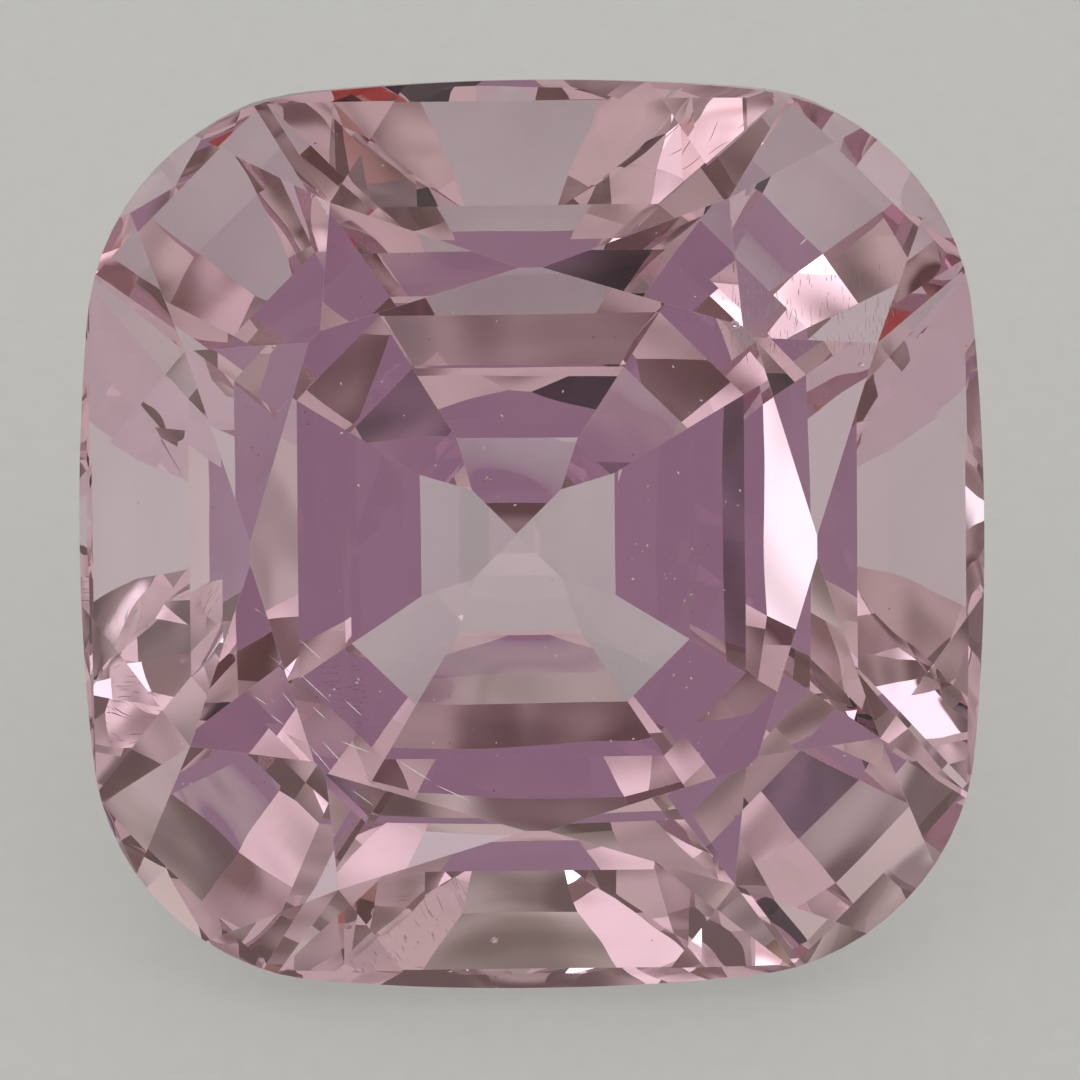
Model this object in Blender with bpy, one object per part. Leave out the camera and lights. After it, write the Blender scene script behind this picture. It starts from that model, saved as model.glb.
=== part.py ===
# Cushion-cut kunzite: a loose faceted stone that lies on one side of its pavilion
#
# The stone is cut from a cushion-shaped prism, one flat facet at a time, with its
# table facing up. It is then laid down on one facet of the side nearest the viewer.

import math

import bmesh
import bpy
from mathutils import Matrix, Vector

# Half the width of the stone, in metres. Every other length is a share of it.
HALF_WIDTH = 0.008

# Outline of the girdle: four long side arcs joined by four corner arcs
LENGTH_RATIO = 1.01
SIDE_ARC_RADIUS = 5.0
CORNER_ARC_RADIUS = 0.55
OUTLINE_POINTS = 128

# Height 0 is the upper edge of the girdle
TABLE_HEIGHT = 0.26
BLANK_HEIGHT = 1.0
BLANK_DEPTH = 1.5

# Azimuths run anticlockwise from the right side, in degrees. Angles are measured from the
# girdle plane. A reach is how far from the axis a facet meets the plane of the table.

# Angle and reach of the crown's mains, on the four sides and on the four corners, and of its stars
SIDE_MAIN = (35, 0.62)
CORNER_MAIN = (29, 0.67)
STAR = (21, 0.60)

# How far round from the middle of a side its two stars lie, and where the two upper girdle
# facets under each star part. Every main ends in a short edge on the girdle, this wide to
# each side of its tip.
STAR_TURN = 17
GIRDLE_SPLIT = 31
TIP_HALF_WIDTH = 1.8

# Step edges of the pavilion, from the girdle down: how far from the axis each one is on the
# four sides, as the nested squares in the table show, and the angle of the facets below it.
# Below 37 degrees a facet lets light out, and the pale middle square is such a window.
GIRDLE_DEPTH = 0.045
STEP_REACHES = (1.0, 0.9, 0.5, 0.38, 0.22)
STEP_ANGLES = (63, 52, 45, 40, 34)
CORNER_RATIO = 1.15

# The culet is a little off the axis, and the steps lean with it
CULET_OFFSET = Vector((-0.03, -0.06, 0))

# The facet that the stone lies on: which of the eight directions, and which step
RESTING_DIRECTION = 6
RESTING_STEP = 1

# Corners that several facets share are closer than this to every one of them
SNAP = 1e-4

COLOUR = (0.72, 0.50, 0.66, 1.0)
REFRACTIVE_INDEX = 1.66


def towards(azimuth):
    turn = math.radians(azimuth)
    return Vector((math.cos(turn), math.sin(turn), 0))


def crown_plane(azimuth, angle, reach):
    """Outward normal and distance from the origin of a facet above the girdle."""
    tilt = math.radians(angle)
    normal = towards(azimuth) * math.sin(tilt) + Vector((0, 0, math.cos(tilt)))
    return normal, normal.dot(towards(azimuth) * reach + Vector((0, 0, TABLE_HEIGHT)))


def plane_through(first, second, third):
    normal = (second - first).cross(third - first).normalized()
    if normal.dot(first) < 0:
        normal.negate()
    return normal, normal.dot(first)


def meeting_point(*planes):
    """The point that three planes share."""
    normals = Matrix([normal for normal, distance in planes])
    return normals.inverted() @ Vector([distance for normal, distance in planes])


def outline_point(azimuth):
    """The point of the outline that lies in this direction from the axis."""
    turn = 90 * round(azimuth / 90)
    ray = towards(azimuth - turn)
    back = SIDE_ARC_RADIUS - 1
    inner = SIDE_ARC_RADIUS - CORNER_ARC_RADIUS
    # The corner arc's centre is on the diagonal, where both arcs share a tangent.
    diagonal = (math.sqrt(2 * inner**2 - back**2) - back) / 2
    corner = Vector((diagonal, math.copysign(diagonal, ray.y), 0))
    side = Vector((-back, 0, 0))
    joint = side + (corner - side).normalized() * SIDE_ARC_RADIUS
    in_corner = abs(ray.y / ray.x) > abs(joint.y / joint.x)
    centre, radius = (corner, CORNER_ARC_RADIUS) if in_corner else (side, SIDE_ARC_RADIUS)
    along = ray.dot(centre)
    distance = along + math.sqrt(along**2 - centre.length_squared + radius**2)
    point = Matrix.Rotation(math.radians(turn), 3, "Z") @ (ray * distance)
    return Vector((point.x, point.y * LENGTH_RATIO, 0))


def make_blank():
    """A prism of the outline's shape, taller and deeper than the cut stone."""
    stone = bmesh.new()
    bmesh.ops.create_cone(
        stone,
        cap_ends=True,
        segments=OUTLINE_POINTS,
        radius1=1,
        radius2=1,
        depth=BLANK_HEIGHT + BLANK_DEPTH,
    )
    for vert in stone.verts:
        height = BLANK_HEIGHT if vert.co.z > 0 else -BLANK_DEPTH
        vert.co = outline_point(math.degrees(math.atan2(vert.co.y, vert.co.x)))
        vert.co.z = height
    return stone


def cut(stone, plane):
    """Takes off everything outside the plane and closes the stone with a flat facet."""
    normal, distance = plane
    bmesh.ops.bisect_plane(
        stone,
        geom=stone.verts[:] + stone.edges[:] + stone.faces[:],
        dist=SNAP,
        plane_co=normal * distance,
        plane_no=normal,
        clear_outer=True,
    )
    rim = [edge for edge in stone.edges if edge.is_boundary]
    bmesh.ops.holes_fill(stone, edges=rim, sides=0)


def crown_planes():
    mains = [crown_plane(45 * i, *(CORNER_MAIN if i % 2 else SIDE_MAIN)) for i in range(8)]
    planes = [(Vector((0, 0, 1)), TABLE_HEIGHT)] + mains
    for i in range(8):
        # Stars come in pairs, one to each side of a side's middle.
        middle = 90 * ((i + 1) // 2)
        side = -1 if i % 2 else 1
        star = crown_plane(middle + side * STAR_TURN, *STAR)
        apex = meeting_point(mains[i], mains[(i + 1) % 8], star)
        split = outline_point(middle + side * GIRDLE_SPLIT)
        planes.append(star)
        planes.append(plane_through(apex, split, outline_point(45 * i + TIP_HALF_WIDTH)))
        planes.append(plane_through(apex, split, outline_point(45 * (i + 1) - TIP_HALF_WIDTH)))
    return planes


def pavilion_planes():
    """The facets of each direction, from the girdle to the culet."""
    reaches = STEP_REACHES + (0,)
    depths = [GIRDLE_DEPTH]
    for reach, next_reach, angle in zip(reaches, reaches[1:], STEP_ANGLES):
        depths.append(depths[-1] + (reach - next_reach) * math.tan(math.radians(angle)))
    directions = []
    for i in range(8):
        out = towards(45 * i)
        across = towards(45 * i + 90)
        ratio = CORNER_RATIO if i % 2 else 1
        edges = []
        for reach, depth in zip(reaches, depths):
            lean = out.dot(CULET_OFFSET) * depth / depths[-1]
            edges.append(out * (reach * ratio + lean) - Vector((0, 0, depth)))
        if i % 2:
            # The corners have no facet of the last step.
            edges.pop()
        directions.append(
            [plane_through(a, a + across, b) for a, b in zip(edges, edges[1:])]
        )
    return directions


def cut_stone():
    stone = make_blank()
    pavilion = pavilion_planes()
    for plane in crown_planes() + sum(pavilion, []):
        cut(stone, plane)
    bmesh.ops.remove_doubles(stone, verts=stone.verts, dist=2 * SNAP)
    bmesh.ops.dissolve_degenerate(stone, edges=stone.edges, dist=SNAP)
    bmesh.ops.recalc_face_normals(stone, faces=stone.faces)
    lay_down(stone, pavilion[RESTING_DIRECTION][RESTING_STEP][0])
    return stone


def lay_down(stone, resting_normal):
    """Turns the resting facet to the ground, with the origin under the stone's middle."""
    turn = resting_normal.rotation_difference(Vector((0, 0, -1)))
    scale = Matrix.Scale(HALF_WIDTH, 4)
    stone.transform(scale @ turn.to_matrix().to_4x4())
    low = [min(vert.co[axis] for vert in stone.verts) for axis in range(3)]
    high = [max(vert.co[axis] for vert in stone.verts) for axis in range(3)]
    middle = Vector(((low[0] + high[0]) / 2, (low[1] + high[1]) / 2, low[2]))
    stone.transform(Matrix.Translation(-middle))


def crystal_material():
    material = bpy.data.materials.new("pale lilac pink kunzite")
    material.use_nodes = True
    shader = material.node_tree.nodes["Principled BSDF"]
    shader.inputs["Base Color"].default_value = COLOUR
    shader.inputs["Roughness"].default_value = 0.0
    shader.inputs["Metallic"].default_value = 0.0
    shader.inputs["IOR"].default_value = REFRACTIVE_INDEX
    shader.inputs["Transmission Weight"].default_value = 1.0
    return material


for leftover in list(bpy.data.objects):
    bpy.data.objects.remove(leftover, do_unlink=True)

collection = bpy.data.collections.new("kunzite_cushion")
bpy.context.scene.collection.children.link(collection)

stone = cut_stone()
mesh = bpy.data.meshes.new("kunzite")
stone.to_mesh(mesh)
stone.free()
mesh.materials.append(crystal_material())
mesh.shade_flat()

kunzite = bpy.data.objects.new("kunzite", mesh)
collection.objects.link(kunzite)
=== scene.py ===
import math
import random

import bpy
from mathutils import Matrix, Vector


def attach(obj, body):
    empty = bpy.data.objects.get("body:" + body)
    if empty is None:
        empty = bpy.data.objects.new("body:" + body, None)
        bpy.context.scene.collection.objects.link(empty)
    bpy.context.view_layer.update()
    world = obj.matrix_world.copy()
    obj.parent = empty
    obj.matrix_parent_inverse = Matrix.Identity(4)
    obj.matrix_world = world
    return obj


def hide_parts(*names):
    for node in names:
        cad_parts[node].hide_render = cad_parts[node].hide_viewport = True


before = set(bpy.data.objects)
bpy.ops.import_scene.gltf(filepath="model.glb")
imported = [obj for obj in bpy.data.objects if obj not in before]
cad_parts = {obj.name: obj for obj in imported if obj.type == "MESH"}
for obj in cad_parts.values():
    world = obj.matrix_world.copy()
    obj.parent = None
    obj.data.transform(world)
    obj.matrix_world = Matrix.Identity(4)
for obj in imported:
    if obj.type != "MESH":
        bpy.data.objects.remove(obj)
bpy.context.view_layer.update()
print("frame loaded:", ", ".join(sorted(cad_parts)))


def hexColour(code):
    values = [int(code[i:i + 2], 16) / 255 for i in (1, 3, 5)]
    linear = [v / 12.92 if v <= 0.04045 else ((v + 0.055) / 1.055) ** 2.4 for v in values]
    return (*linear, 1.0)


def addNode(tree, kind, settings, inputs):
    node = tree.nodes.new(kind)
    for name, value in settings.items():
        setattr(node, name, value)
    for name, value in inputs.items():
        if isinstance(value, bpy.types.NodeSocket):
            tree.links.new(value, node.inputs[name])
        else:
            node.inputs[name].default_value = value
    return node


# a face whose direction is this close to square with the table's is part of the girdle
squareOn = 0.02


def findTable(stone):
    # the table is the widest flat facet, and the girdle's faces stand square to it
    facets = {}
    for face in stone.data.polygons:
        facets.setdefault(tuple(round(n, 2) for n in face.normal), []).append(face)
    table = max(facets.values(), key=lambda faces: sum(face.area for face in faces))
    normal = sum((face.normal * face.area for face in table), Vector()).normalized()
    rim = [stone.data.vertices[i].co for face in stone.data.polygons
           if abs(face.normal.dot(normal)) < squareOn for i in face.vertices]
    return normal, sum(rim, Vector()) / len(rim)


tableNormal, stoneMiddle = findTable(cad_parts["kunzite"])

cameraSettings = {
    "lift": 6.5, "turn": -1.0,                         # degrees from the table's own direction to the lens
    "distance": 0.2,                                   # metres
    "lens": 376.7, "sensor": 36,                       # mm
    "photo": 1080,                                     # pixels on each side of the photograph
    "offset": (8, 8),                                  # pixels: the stone sits left of and above the middle
}


def addCamera(settings):
    rise = math.asin(tableNormal.z) + math.radians(settings["lift"])
    turn = math.radians(settings["turn"])
    direction = Vector((math.sin(turn) * math.cos(rise), -math.cos(turn) * math.cos(rise), math.sin(rise)))
    right = Vector((0, 0, 1)).cross(direction).normalized()
    up = direction.cross(right)
    pixel = settings["distance"] * settings["sensor"] / settings["lens"] / settings["photo"]
    across, down = settings["offset"]
    target = stoneMiddle + right * across * pixel - up * down * pixel
    data = bpy.data.cameras.new("camera")
    data.lens = settings["lens"]
    data.sensor_width = settings["sensor"]
    data.clip_start = 0.01
    data.clip_end = 10
    camera = bpy.data.objects.new("camera", data)
    camera.location = target + direction * settings["distance"]
    camera.rotation_euler = direction.to_track_quat("Z", "Y").to_euler()
    bpy.context.scene.collection.objects.link(camera)
    bpy.context.scene.camera = camera

    def toPixel(x, y):
        # the way from the lens to a pixel of the photograph
        middle = settings["photo"] / 2
        sideways = right * (x - middle) * pixel + up * (middle - y) * pixel
        return (sideways - direction * settings["distance"]).normalized()

    return {"place": camera.location.copy(), "toPixel": toPixel}


# light that turns many times inside the stone has to come out again
lightSettings = {"max_bounces": 16, "glossy_bounces": 14, "transmission_bounces": 14, "diffuse_bounces": 1}

for name, value in lightSettings.items():
    setattr(bpy.context.scene.cycles, name, value)
bpy.context.scene.cycles.denoising_input_passes = "RGB"
bpy.context.scene.view_settings.view_transform = "Standard"

# Soft studio cards stand around the stone, and its facets show them. Each has its azimuth from
# the viewer, positive to the right, its elevation, its width and height in degrees, and its tone.
worldSettings = {
    "strength": 1.75,
    "tones": {
        "room": "#787470", "white": "#f8f6f4", "pale": "#a09c9c", "lilac": "#70606c",
        "brown": "#605048", "red": "#783830", "dark": "#282426",
    },
    # what else stands in a room, in soft patches: their fineness, and what they do to the light, as
    # factors of red, green and blue, from dark brown things to pale ones
    "clutter": (13.0, (0.35, 0.25, 0.22), (1.8, 1.8, 1.7)),
    "clutterEdge": (0.36, 0.64),                       # the noise between which one tone turns into the other
    "edge": 3.0,                                       # degrees over which a card's edge fades
    "plain": "#bcbbb8",                                # the soft light that the floor gets
    "wall": "#c2c1bd",                                 # what the camera sees behind the floor
    "cards": {
        "left softbox": (-65, 65, 30, 12, "pale"),
        "ceiling": (-20, 70, 60, 12, "pale"),
        "right softbox": (60, 75, 30, 10, "pale"),
        "front fill": (25, 55, 15, 10, "white"),
        "left strip light": (-60, 45, 5, 10, "white"),
        "left wall": (-55, 35, 40, 10, "pale"),
        "left reflector": (-55, 20, 10, 10, "white"),
        "right wall": (70, 45, 15, 10, "pale"),
        "right stand": (45, 20, 15, 10, "brown"),
        "back left light": (-145, 45, 15, 15, "white"),
        "back stand": (-130, 45, 10, 15, "brown"),
        "side flag": (-100, 30, 15, 5, "dark"),
    },
    # these stand in front of the clutter
    "near cards": {
        "overhead strip": (0, 85, 60, 10, "white"),
        "overhead flag": (40, 75, 10, 15, "dark"),
        "back light": (170, 60, 45, 10, "pale"),
        "front card": (5, 25, 40, 25, "lilac"),
        "front flag": (-5, 40, 10, 8, "dark"),
        "left flag": (-65, 15, 12, 5, "dark"),
        "left paper": (-65, 5, 12, 8, "white"),
        "right flag": (30, 20, 12, 15, "dark"),
        "warm card": (35, 32, 15, 8, "red"),
    },
}


def layCards(tree, degrees, settings, cards, colour):
    fade = settings["edge"] / 2
    for name, (azimuth, elevation, width, height, tone) in cards.items():
        offset = addNode(tree, "ShaderNodeVectorMath", {"operation": "SUBTRACT"},
                         {0: degrees, 1: (azimuth, elevation, 0)})
        away = addNode(tree, "ShaderNodeVectorMath", {"operation": "ABSOLUTE"}, {0: offset.outputs[0]})
        soft = {"data_type": "FLOAT_VECTOR", "interpolation_type": "SMOOTHSTEP"}
        inside = addNode(tree, "ShaderNodeMapRange", soft, {
            "Vector": away.outputs[0],
            7: (width / 2 + fade, height / 2 + fade, 2),
            8: (width / 2 - fade, height / 2 - fade, 1)})
        # both sides count: 1 + 1 - 1 inside the card, nothing or less outside it
        share = addNode(tree, "ShaderNodeVectorMath", {"operation": "DOT_PRODUCT"},
                        {0: inside.outputs["Vector"], 1: (1, 1, -1)})
        mix = addNode(tree, "ShaderNodeMix", {"data_type": "RGBA", "label": name},
                      {0: share.outputs["Value"], 6: colour, 7: hexColour(settings["tones"][tone])})
        colour = mix.outputs[2]
    return colour


def buildWorld(settings):
    world = bpy.data.worlds.new("studio surroundings")
    bpy.context.scene.world = world
    world.cycles.sampling_method = "NONE"
    world.use_nodes = True
    tree = world.node_tree
    generated = addNode(tree, "ShaderNodeTexCoord", {}, {}).outputs["Generated"]
    parts = addNode(tree, "ShaderNodeSeparateXYZ", {}, {"Vector": generated}).outputs
    nearer = addNode(tree, "ShaderNodeMath", {"operation": "MULTIPLY"}, {0: parts["Y"], 1: -1.0})
    turn = addNode(tree, "ShaderNodeMath", {"operation": "ARCTAN2"}, {0: parts["X"], 1: nearer.outputs[0]})
    rise = addNode(tree, "ShaderNodeMath", {"operation": "ARCSINE"}, {0: parts["Z"]})
    place = addNode(tree, "ShaderNodeCombineXYZ", {}, {"X": turn.outputs[0], "Y": rise.outputs[0]})
    degrees = addNode(tree, "ShaderNodeVectorMath", {"operation": "SCALE"}, {
        0: place.outputs[0], "Scale": math.degrees(1)}).outputs[0]
    colour = addNode(tree, "ShaderNodeRGB", {}, {}).outputs[0]
    colour.default_value = hexColour(settings["tones"]["room"])
    colour = layCards(tree, degrees, settings, settings["cards"], colour)
    # nothing in a room is of one even tone
    fineness, dark, pale = settings["clutter"]
    low, high = settings["clutterEdge"]
    patches = addNode(tree, "ShaderNodeTexNoise", {}, {"Vector": generated, "Scale": fineness, "Detail": 1.0})
    share = addNode(tree, "ShaderNodeMapRange", {"interpolation_type": "SMOOTHSTEP"}, {
        "Value": patches.outputs["Fac"], "From Min": low, "From Max": high})
    tone = addNode(tree, "ShaderNodeMix", {"data_type": "VECTOR"}, {0: share.outputs[0], 4: dark, 5: pale})
    toned = addNode(tree, "ShaderNodeVectorMath", {"operation": "MULTIPLY"}, {0: colour, 1: tone.outputs[1]})
    colour = layCards(tree, degrees, settings, settings["near cards"], toned.outputs[0])
    ray = addNode(tree, "ShaderNodeLightPath", {}, {}).outputs
    onFloor = addNode(tree, "ShaderNodeMath", {"operation": "MINIMUM"}, {0: ray["Diffuse Depth"], 1: 1.0})
    cards = addNode(tree, "ShaderNodeBackground", {}, {"Color": colour, "Strength": settings["strength"]})
    plain = addNode(tree, "ShaderNodeBackground", {}, {
        "Color": hexColour(settings["plain"]), "Strength": settings["strength"]})
    shown = addNode(tree, "ShaderNodeMixShader", {}, {
        0: onFloor.outputs[0], 1: cards.outputs[0], 2: plain.outputs[0]})
    wall = addNode(tree, "ShaderNodeBackground", {}, {"Color": hexColour(settings["wall"])})
    seen = addNode(tree, "ShaderNodeMixShader", {}, {
        0: ray["Is Camera Ray"], 1: shown.outputs[0], 2: wall.outputs[0]})
    tree.links.new(seen.outputs[0], tree.nodes["World Output"].inputs["Surface"])


buildWorld(worldSettings)
print("surroundings:", len(worldSettings["cards"]) + len(worldSettings["near cards"]), "cards")

crystalSettings = {
    "ior": 1.66,
    "absorption": (0.77, 0.28, 0.54, 1.0),             # takes out green most, then blue
    "density": 30.0,
    "edgeWidth": 0.026,                                # mm, the worn edge between two facets
    "polishWave": 4.0,                                 # mm, from one slow swell of a facet to the next
    "polishDepth": 0.03,                               # mm
    "girdleRoughness": 0.3,
    # the edge colour is a painted highlight: a pale colour for the glints along the facet edges
    "edgeHighlightColour": "#f4e8ee", "edgeClear": 0.55,        # how much of a worn edge still lets light through
    "edgeWear": 0.8, "edgeRoughness": (0.05, 0.5),     # mm from one worn spot to the next, and how rough
    "girdleGrit": 0.06,                                # mm
    "sameFacet": 0.05,                                 # degrees: faces that turn less are one facet
    "junction": 3,                                     # degrees: an edge that turns more is worn
    # where the photograph shows each chip, in pixels, and its radius in mm
    "chips": ((735, 325, 0.10), (861, 365, 0.07), (494, 940, 0.08), (262, 960, 0.06)),
    "chipLift": 0.45,                                  # how far out a chip's ball sits, in radii
}


def kunziteMaterial(settings):
    # clear spodumene, cut and polished by hand: bright mirror-like facets with a very slow
    # swell in them, and a lilac pink that grows with the way light goes through the stone
    material = bpy.data.materials.new("hand polished kunzite")
    material.use_nodes = True
    tree = material.node_tree
    shader = tree.nodes["Principled BSDF"]
    shader.inputs["Base Color"].default_value = (1, 1, 1, 1)
    shader.inputs["Roughness"].default_value = 0.0
    shader.inputs["IOR"].default_value = settings["ior"]
    shader.inputs["Transmission Weight"].default_value = 1.0
    place = addNode(tree, "ShaderNodeTexCoord", {}, {}).outputs["Object"]
    swell = addNode(tree, "ShaderNodeTexNoise", {}, {
        "Vector": place, "Scale": 1000 / settings["polishWave"], "Detail": 1.0, "Roughness": 0.4})
    bump = addNode(tree, "ShaderNodeBump", {}, {
        "Strength": 1.0, "Distance": settings["polishDepth"] / 1000, "Height": swell.outputs["Fac"]})
    tree.links.new(bump.outputs["Normal"], shader.inputs["Normal"])
    volume = addNode(tree, "ShaderNodeVolumeAbsorption", {}, {
        "Color": settings["absorption"], "Density": settings["density"]})
    tree.links.new(volume.outputs[0], tree.nodes["Material Output"].inputs["Volume"])
    return material


def girdleMaterial(settings):
    # the rim is only ground, so it is frosted: a fine grey line round the stone
    material = kunziteMaterial(settings)
    material.name = "ground kunzite girdle"
    tree = material.node_tree
    shader = tree.nodes["Principled BSDF"]
    place = addNode(tree, "ShaderNodeTexCoord", {}, {}).outputs["Object"]
    grit = addNode(tree, "ShaderNodeTexNoise", {}, {
        "Vector": place, "Scale": 1000 / settings["girdleGrit"], "Detail": 2.0})
    rough = addNode(tree, "ShaderNodeMapRange", {}, {
        "Value": grit.outputs["Fac"], "To Min": settings["girdleRoughness"] - 0.1,
        "To Max": settings["girdleRoughness"] + 0.1})
    tree.links.new(rough.outputs[0], shader.inputs["Roughness"])
    return material


def paintedHighlightEdgeMaterial(settings):
    # a pale colour is painted along the facet junctions, and they let less light through: a painted highlight
    # for the thin glints of the edges, so each is a fine pale line. Its roughness varies from one worn spot
    # to the next
    material = kunziteMaterial(settings)
    material.name = "kunzite edge with painted highlight"
    tree = material.node_tree
    shader = tree.nodes["Principled BSDF"]
    # painted highlight: the pale colour on each edge
    shader.inputs["Base Color"].default_value = hexColour(settings["edgeHighlightColour"])
    shader.inputs["Transmission Weight"].default_value = settings["edgeClear"]
    place = addNode(tree, "ShaderNodeTexCoord", {}, {}).outputs["Object"]
    wear = addNode(tree, "ShaderNodeTexNoise", {}, {
        "Vector": place, "Scale": 1000 / settings["edgeWear"], "Detail": 2.0})
    smooth, worn = settings["edgeRoughness"]
    rough = addNode(tree, "ShaderNodeMapRange", {}, {
        "Value": wear.outputs["Fac"], "To Min": smooth, "To Max": worn})
    tree.links.new(rough.outputs[0], shader.inputs["Roughness"])
    return material


def startPiece(name):
    piece = bpy.context.object
    piece.name = name
    piece.data.name = name
    return piece


def onStone(x, y):
    # the point and the facet's direction that the photograph's pixel shows
    hit, point, normal, face = crystal.ray_cast(lens["place"], lens["toPixel"](x, y))
    if not hit:
        raise ValueError("pixel %d, %d is not on the stone" % (x, y))
    return point, normal


def modelCrystal(settings):
    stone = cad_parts["kunzite"]
    bpy.ops.object.select_all(action="DESELECT")
    piece = stone.copy()
    piece.data = stone.data.copy()
    piece.parent = None
    bpy.context.scene.collection.objects.link(piece)
    piece.select_set(True)
    bpy.context.view_layer.objects.active = piece
    startPiece("crystal")
    bpy.ops.object.mode_set(mode="EDIT")
    bpy.ops.mesh.select_all(action="SELECT")
    bpy.ops.mesh.customdata_custom_splitnormals_clear()
    bpy.ops.mesh.remove_doubles(threshold=1e-7)
    bpy.ops.mesh.dissolve_limited(angle_limit=math.radians(settings["sameFacet"]))
    bpy.ops.object.mode_set(mode="OBJECT")
    bpy.ops.object.shade_flat()
    return piece


def chipCrystal(piece, settings):
    # small shell-shaped nicks, most of them close to where facets meet
    for x, y, radius in settings["chips"]:
        point, normal = onStone(x, y)
        bpy.ops.object.select_all(action="DESELECT")
        size = radius / 1000
        bpy.ops.mesh.primitive_ico_sphere_add(
            subdivisions=3, radius=size, location=point + normal * size * settings["chipLift"])
        cutter = bpy.context.object
        nick = piece.modifiers.new("nick", "BOOLEAN")
        nick.object = cutter
        nick.operation = "DIFFERENCE"
        nick.solver = "EXACT"
        bpy.context.view_layer.objects.active = piece
        bpy.ops.object.modifier_apply(modifier=nick.name)
        bpy.data.objects.remove(cutter)


def wearEdgesWithPaintedHighlight(piece, settings):
    wear = piece.modifiers.new("worn edges", "BEVEL")
    wear.width = settings["edgeWidth"] / 1000
    wear.segments = 1
    wear.limit_method = "ANGLE"
    wear.angle_limit = math.radians(settings["junction"])
    # the bevel takes the edge finish with the painted highlight
    wear.material = 2
    bpy.context.view_layer.objects.active = piece
    bpy.ops.object.modifier_apply(modifier=wear.name)


lens = addCamera(cameraSettings)
crystal = modelCrystal(crystalSettings)
chipCrystal(crystal, crystalSettings)
crystal.data.materials.clear()
for finish in (kunziteMaterial, girdleMaterial, paintedHighlightEdgeMaterial):
    crystal.data.materials.append(finish(crystalSettings))
for face in crystal.data.polygons:
    face.material_index = 1 if abs(face.normal.dot(tableNormal)) < squareOn else 0
wearEdgesWithPaintedHighlight(crystal, crystalSettings)
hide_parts("kunzite")
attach(crystal, "root")
print("crystal:", len(crystal.data.polygons), "faces")

scratchSettings = {
    "width": 0.014,                                    # mm
    "colour": "#f6eef2", "grain": 0.05,                # mm from a pale spot to a darker one
    # the ends of each scratch, in the photograph's pixels
    "lines": (
        (254, 608, 269, 618), (269, 655, 292, 674), (275, 672, 297, 690), (254, 696, 267, 705),
        (282, 692, 298, 712), (300, 674, 330, 702), (312, 706, 326, 719), (271, 715, 284, 725),
        (309, 745, 335, 776), (322, 741, 344, 765), (363, 776, 389, 794), (340, 741, 371, 753),
        (352, 790, 374, 806), (400, 762, 431, 781), (436, 785, 470, 801), (402, 823, 428, 835),
        (800, 245, 807, 238), (300, 640, 322, 660), (345, 700, 362, 716),
    ),
}


def scratchMaterial(settings):
    # the torn lips of a scratch in a gem catch light from everywhere, so it is a pale thread
    material = bpy.data.materials.new("torn kunzite in a scratch")
    material.use_nodes = True
    tree = material.node_tree
    shader = tree.nodes["Principled BSDF"]
    place = addNode(tree, "ShaderNodeTexCoord", {}, {}).outputs["Object"]
    broken = addNode(tree, "ShaderNodeTexNoise", {}, {
        "Vector": place, "Scale": 1000 / settings["grain"], "Detail": 1.0})
    shade = addNode(tree, "ShaderNodeMapRange", {}, {
        "Value": broken.outputs["Fac"], "From Min": 0.35, "From Max": 0.65, "To Min": 0.75, "To Max": 1.0})
    tint = addNode(tree, "ShaderNodeMix", {"data_type": "RGBA", "blend_type": "MULTIPLY"},
                   {0: 1.0, 6: hexColour(settings["colour"]), 7: shade.outputs[0]})
    tree.links.new(tint.outputs[2], shader.inputs["Base Color"])
    shader.inputs["Roughness"].default_value = 0.45
    shader.inputs["IOR"].default_value = crystalSettings["ior"]
    return material


# a thread is made 1 long at first: where it is divided, where its ends begin, and how thin they are
threadShape = {"cuts": (0.2, -0.25), "ends": 0.4, "thin": 0.12}


def spindle(start, end, width, height, up):
    # a thin four-sided thread that runs out to a point at both ends
    along = end - start
    across = up.cross(along).normalized()
    lift = along.cross(across).normalized()
    bpy.ops.mesh.primitive_cylinder_add(vertices=4, radius=0.5, depth=1.0, end_fill_type="TRIFAN")
    piece = bpy.context.object
    bpy.ops.object.mode_set(mode="EDIT")
    for level in threadShape["cuts"]:
        bpy.ops.mesh.select_all(action="SELECT")
        bpy.ops.mesh.bisect(plane_co=(0, 0, level), plane_no=(0, 0, 1))
    bpy.ops.object.mode_set(mode="OBJECT")
    for vert in piece.data.vertices:
        thin = threadShape["thin"] if abs(vert.co.z) > threadShape["ends"] else 1.0
        vert.co.x *= thin
        vert.co.y *= thin
    middle = (start + end) / 2
    turn = Matrix((across * width, lift * height, along)).transposed().to_4x4()
    piece.data.transform(Matrix.Translation(middle) @ turn)
    return piece


def joinPieces(pieces, name, material):
    bpy.ops.object.select_all(action="DESELECT")
    for piece in pieces:
        piece.select_set(True)
    bpy.context.view_layer.objects.active = pieces[0]
    bpy.ops.object.join()
    joined = startPiece(name)
    bpy.ops.object.mode_set(mode="EDIT")
    bpy.ops.mesh.select_all(action="SELECT")
    bpy.ops.mesh.normals_make_consistent(inside=False)
    bpy.ops.object.mode_set(mode="OBJECT")
    joined.data.materials.clear()
    joined.data.materials.append(material)
    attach(joined, "root")
    print(name + ":", len(joined.data.polygons), "faces")
    return joined


def modelScratches(settings):
    threads = []
    for x1, y1, x2, y2 in settings["lines"]:
        start, normal = onStone(x1, y1)
        end, otherNormal = onStone(x2, y2)
        threads.append(spindle(start, end, settings["width"] / 1000, settings["width"] / 2000, normal))
    return joinPieces(threads, "scratches", scratchMaterial(settings))


modelScratches(scratchSettings)

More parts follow.
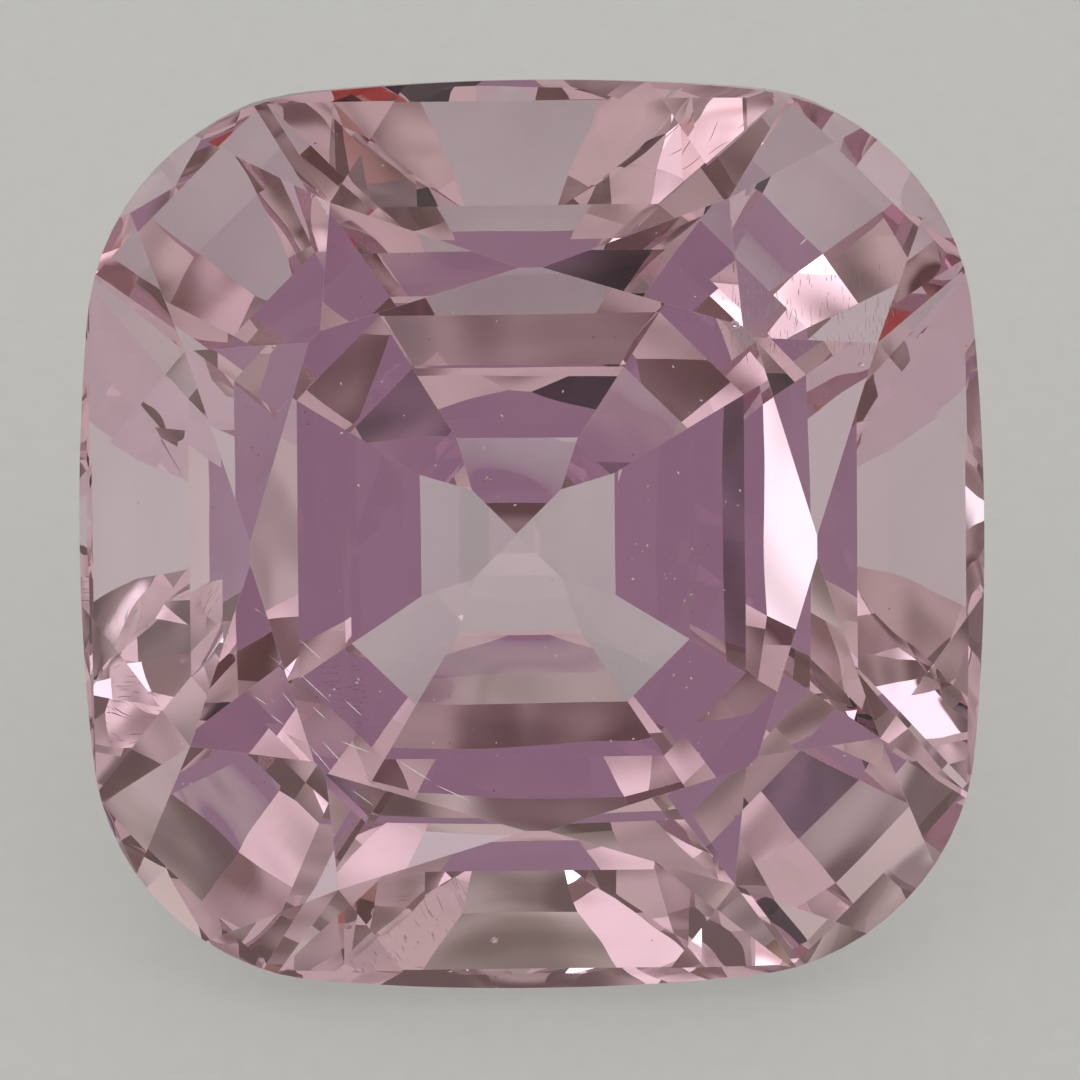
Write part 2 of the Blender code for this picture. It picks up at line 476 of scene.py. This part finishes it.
needleSettings = {
    "count": 170,
    "from": (735, 262), "to": (905, 352),              # the photograph's pixels that the veil lies under
    "depth": (0.15, 1.3),                              # mm below the surface
    "length": (0.05, 0.30),                            # mm
    "width": 0.010, "widths": (0.6, 1.4),              # mm, and the shares of it that they vary between
    "tilt": (0.12, 0.05, 0.12),                        # how far they stray from one direction
    "colour": "#f2e8e2", "grain": 0.08,                # mm from a pale spot to a darker one
}


def needleMaterial(settings):
    # hollow growth tubes along the crystal's length, full of tiny steps: pale silky threads
    material = bpy.data.materials.new("growth tubes in kunzite")
    material.use_nodes = True
    tree = material.node_tree
    shader = tree.nodes["Principled BSDF"]
    place = addNode(tree, "ShaderNodeTexCoord", {}, {}).outputs["Object"]
    steps = addNode(tree, "ShaderNodeTexNoise", {}, {
        "Vector": place, "Scale": 1000 / settings["grain"], "Detail": 1.0})
    shade = addNode(tree, "ShaderNodeMapRange", {}, {
        "Value": steps.outputs["Fac"], "From Min": 0.3, "From Max": 0.7, "To Min": 0.5, "To Max": 1.0})
    tint = addNode(tree, "ShaderNodeMix", {"data_type": "RGBA", "blend_type": "MULTIPLY"},
                   {0: 1.0, 6: hexColour(settings["colour"]), 7: shade.outputs[0]})
    tree.links.new(tint.outputs[2], shader.inputs["Base Color"])
    shader.inputs["Roughness"].default_value = 0.3
    return material


def modelNeedles(settings):
    chance = random.Random(7)
    (x1, y1), (x2, y2) = settings["from"], settings["to"]
    alongStone = tableNormal.cross(Vector((1, 0, 0))).normalized()
    threads = []
    for i in range(settings["count"]):
        point, normal = onStone(chance.uniform(x1, x2), chance.uniform(y1, y2))
        middle = point - normal * chance.uniform(*settings["depth"]) / 1000
        tilt = Vector([chance.gauss(0, spread) for spread in settings["tilt"]])
        half = (alongStone + tilt).normalized() * chance.uniform(*settings["length"]) / 2000
        width = settings["width"] * chance.uniform(*settings["widths"]) / 1000
        threads.append(spindle(middle - half, middle + half, width, width, Vector((1, 0, 0))))
    return joinPieces(threads, "needles", needleMaterial(settings))


modelNeedles(needleSettings)

dustSettings = {
    "size": (0.018, 0.045),                            # mm
    "shape": (1.5, 1.0, 0.5), "uneven": 0.25,          # a grain of size 1: its sides, and how lumpy it is
    "sunk": 0.15,                                      # how far out its middle sits, in sizes
    "onTable": 46, "table": (330, 345, 740, 760),      # grains, and the photograph's pixels that they lie in
    "overStone": 60, "middle": 532, "reach": 400,      # grains, and the square around a middle pixel
    "rim": 440,                                        # pixels from the middle, past which there are none
    "colour": "#dcd8d4", "grime": "#8f8684", "patches": 0.6,   # mm from a pale grain to a dark one
    # a thicker patch on the right of the table, in the photograph's pixels
    "patch": (575, 540, 690, 705), "inPatch": 26,
}


def dustMaterial(settings):
    # lint and polishing dust: matt, pale, no shine
    material = bpy.data.materials.new("pale lint dust")
    material.use_nodes = True
    tree = material.node_tree
    shader = tree.nodes["Principled BSDF"]
    place = addNode(tree, "ShaderNodeTexCoord", {}, {}).outputs["Object"]
    kind = addNode(tree, "ShaderNodeTexNoise", {}, {
        "Vector": place, "Scale": 1000 / settings["patches"], "Detail": 0.0})
    tint = addNode(tree, "ShaderNodeMix", {"data_type": "RGBA"}, {
        0: kind.outputs["Fac"], 6: hexColour(settings["grime"]), 7: hexColour(settings["colour"])})
    tree.links.new(tint.outputs[2], shader.inputs["Base Color"])
    shader.inputs["Roughness"].default_value = 0.95
    return material


def modelDust(settings):
    chance = random.Random(21)
    bpy.ops.object.select_all(action="DESELECT")
    bpy.ops.mesh.primitive_ico_sphere_add(subdivisions=1, radius=0.5)
    grain = bpy.context.object
    bpy.ops.object.mode_set(mode="EDIT")
    bpy.ops.mesh.select_all(action="SELECT")
    bpy.ops.transform.vertex_random(offset=settings["uneven"], seed=4)
    bpy.ops.transform.resize(value=settings["shape"])
    bpy.ops.object.mode_set(mode="OBJECT")
    x1, y1, x2, y2 = settings["patch"]
    pixels = [(chance.uniform(x1, x2), chance.uniform(y1, y2)) for i in range(settings["inPatch"])]
    x1, y1, x2, y2 = settings["table"]
    pixels += [(chance.uniform(x1, x2), chance.uniform(y1, y2)) for i in range(settings["onTable"])]
    middle, reach = settings["middle"], settings["reach"]
    pixels += [(middle + chance.uniform(-1, 1) * reach, middle + chance.uniform(-1, 1) * reach)
               for i in range(settings["overStone"])]
    grains = []
    for x, y in pixels:
        if math.hypot(x - middle, y - middle) > settings["rim"]:
            continue
        point, normal = onStone(x, y)
        size = chance.uniform(*settings["size"]) / 1000
        copy = grain.copy()
        copy.data = grain.data.copy()
        bpy.context.scene.collection.objects.link(copy)
        facing = normal.to_track_quat("Z", "Y").to_matrix().to_4x4()
        turn = facing @ Matrix.Rotation(chance.uniform(0, 6), 4, "Z")
        place = Matrix.Translation(point + normal * size * settings["sunk"])
        copy.data.transform(place @ turn @ Matrix.Scale(size, 4))
        grains.append(copy)
    bpy.data.objects.remove(grain)
    return joinPieces(grains, "dust", dustMaterial(settings))


modelDust(dustSettings)

floorSettings = {
    "size": 2.0,                                       # metres
    "paper": "#c8c8c4", "fibre": "#c3c2be",            # two close tones, in a grain too fine to stand out
    "grain": 0.4,                                      # mm
    "shine": 0.5, "shade": 0.45,                       # the shares of even and of shaded light
    "gap": 0.02,                                       # mm below the stone, so that its facet keeps its shine
}


def floorMaterial(settings):
    # plain matt photo paper, lit evenly, with a very faint grain
    material = bpy.data.materials.new("matt photo paper")
    material.cycles.emission_sampling = "NONE"
    material.use_nodes = True
    tree = material.node_tree
    shader = tree.nodes["Principled BSDF"]
    place = addNode(tree, "ShaderNodeTexCoord", {}, {}).outputs["Object"]
    felt = addNode(tree, "ShaderNodeTexNoise", {}, {
        "Vector": place, "Scale": 1000 / settings["grain"], "Detail": 1.0})
    tint = addNode(tree, "ShaderNodeMix", {"data_type": "RGBA"},
                   {0: felt.outputs["Fac"], 6: hexColour(settings["paper"]), 7: hexColour(settings["fibre"])})
    shaded = addNode(tree, "ShaderNodeVectorMath", {"operation": "SCALE"}, {
        0: tint.outputs[2], "Scale": settings["shade"]})
    tree.links.new(shaded.outputs[0], shader.inputs["Base Color"])
    tree.links.new(tint.outputs[2], shader.inputs["Emission Color"])
    shader.inputs["Emission Strength"].default_value = settings["shine"]
    shader.inputs["Roughness"].default_value = 0.9
    return material


def layFloor(settings):
    bpy.ops.object.select_all(action="DESELECT")
    bpy.ops.mesh.primitive_plane_add(size=settings["size"], location=(0, 0, -settings["gap"] / 1000))
    floor = startPiece("floor")
    floor.data.materials.append(floorMaterial(settings))


layFloor(floorSettings)
